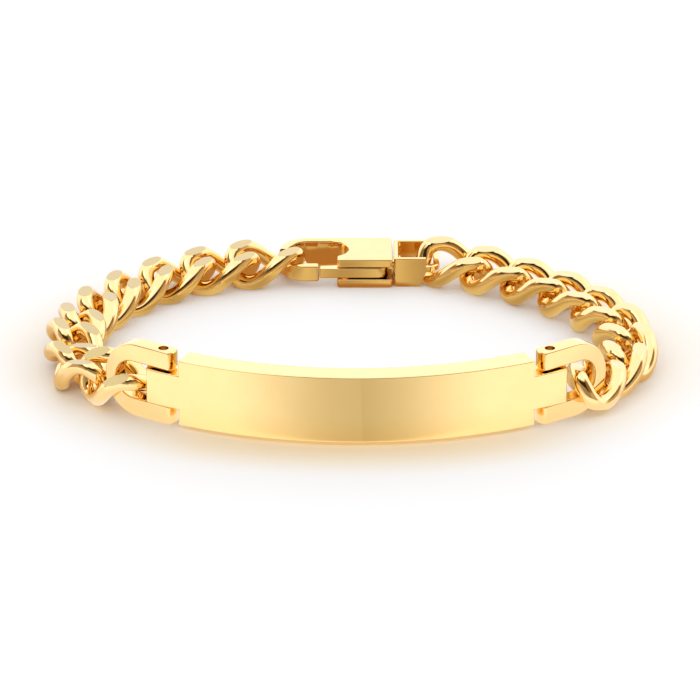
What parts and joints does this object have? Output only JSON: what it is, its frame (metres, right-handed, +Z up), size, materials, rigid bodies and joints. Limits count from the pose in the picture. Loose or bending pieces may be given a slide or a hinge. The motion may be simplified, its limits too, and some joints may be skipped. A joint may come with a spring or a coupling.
{
  "type": "id bracelet",
  "caption": "Curved bare plate on two pinned shackles, joined by a twisted curb chain that closes with a hook clasp and lever.",
  "frame": {"origin": "centre of the bounding box at the surface that the bracelet lies on", "axes": "+Z up from the surface, -Y towards the front face of the plate, +X along the plate to its right end seen from the front"},
  "size_m": [0.0895, 0.0655, 0.0112],
  "materials": {
    "plate_gold": "mirror polished yellow gold",
    "shackle_gold": "mirror polished yellow gold",
    "link_gold": "polished yellow gold with satin ground flats",
    "clasp_gold": "mirror polished yellow gold",
    "pin_gold": "polished yellow gold"
  },
  "bodies": {
    "bracelet": {"id_plate": "plate_gold", "left_shackle": "shackle_gold", "right_shackle": "shackle_gold", "left_pin": "pin_gold", "right_pin": "pin_gold", "link_l1": "link_gold", "link_l2": "link_gold", "link_l3": "link_gold", "link_l4": "link_gold", "link_l5": "link_gold", "link_l6": "link_gold", "link_l7": "link_gold", "link_l8": "link_gold", "link_l9": "link_gold", "link_l10": "link_gold", "link_r1": "link_gold", "link_r2": "link_gold", "link_r3": "link_gold", "link_r4": "link_gold", "link_r5": "link_gold", "link_r6": "link_gold", "link_r7": "link_gold", "link_r8": "link_gold", "link_r9": "link_gold", "clasp_body": "clasp_gold", "clasp_pivot": "pin_gold", "clasp_connector": "clasp_gold"},
    "lever": {"clasp_lever": "clasp_gold"}
  },
  "joints": [
    {"name": "lever_hinge", "type": "hinge", "parent": "bracelet", "child": "lever", "pos_m": [0.0038, 0.0258, 0.00235], "axis": [0, 0, -1], "range_deg": [0, 20], "stiffness_Nm_per_rad": 0.0005, "springref_deg": -17.19}
  ]
}
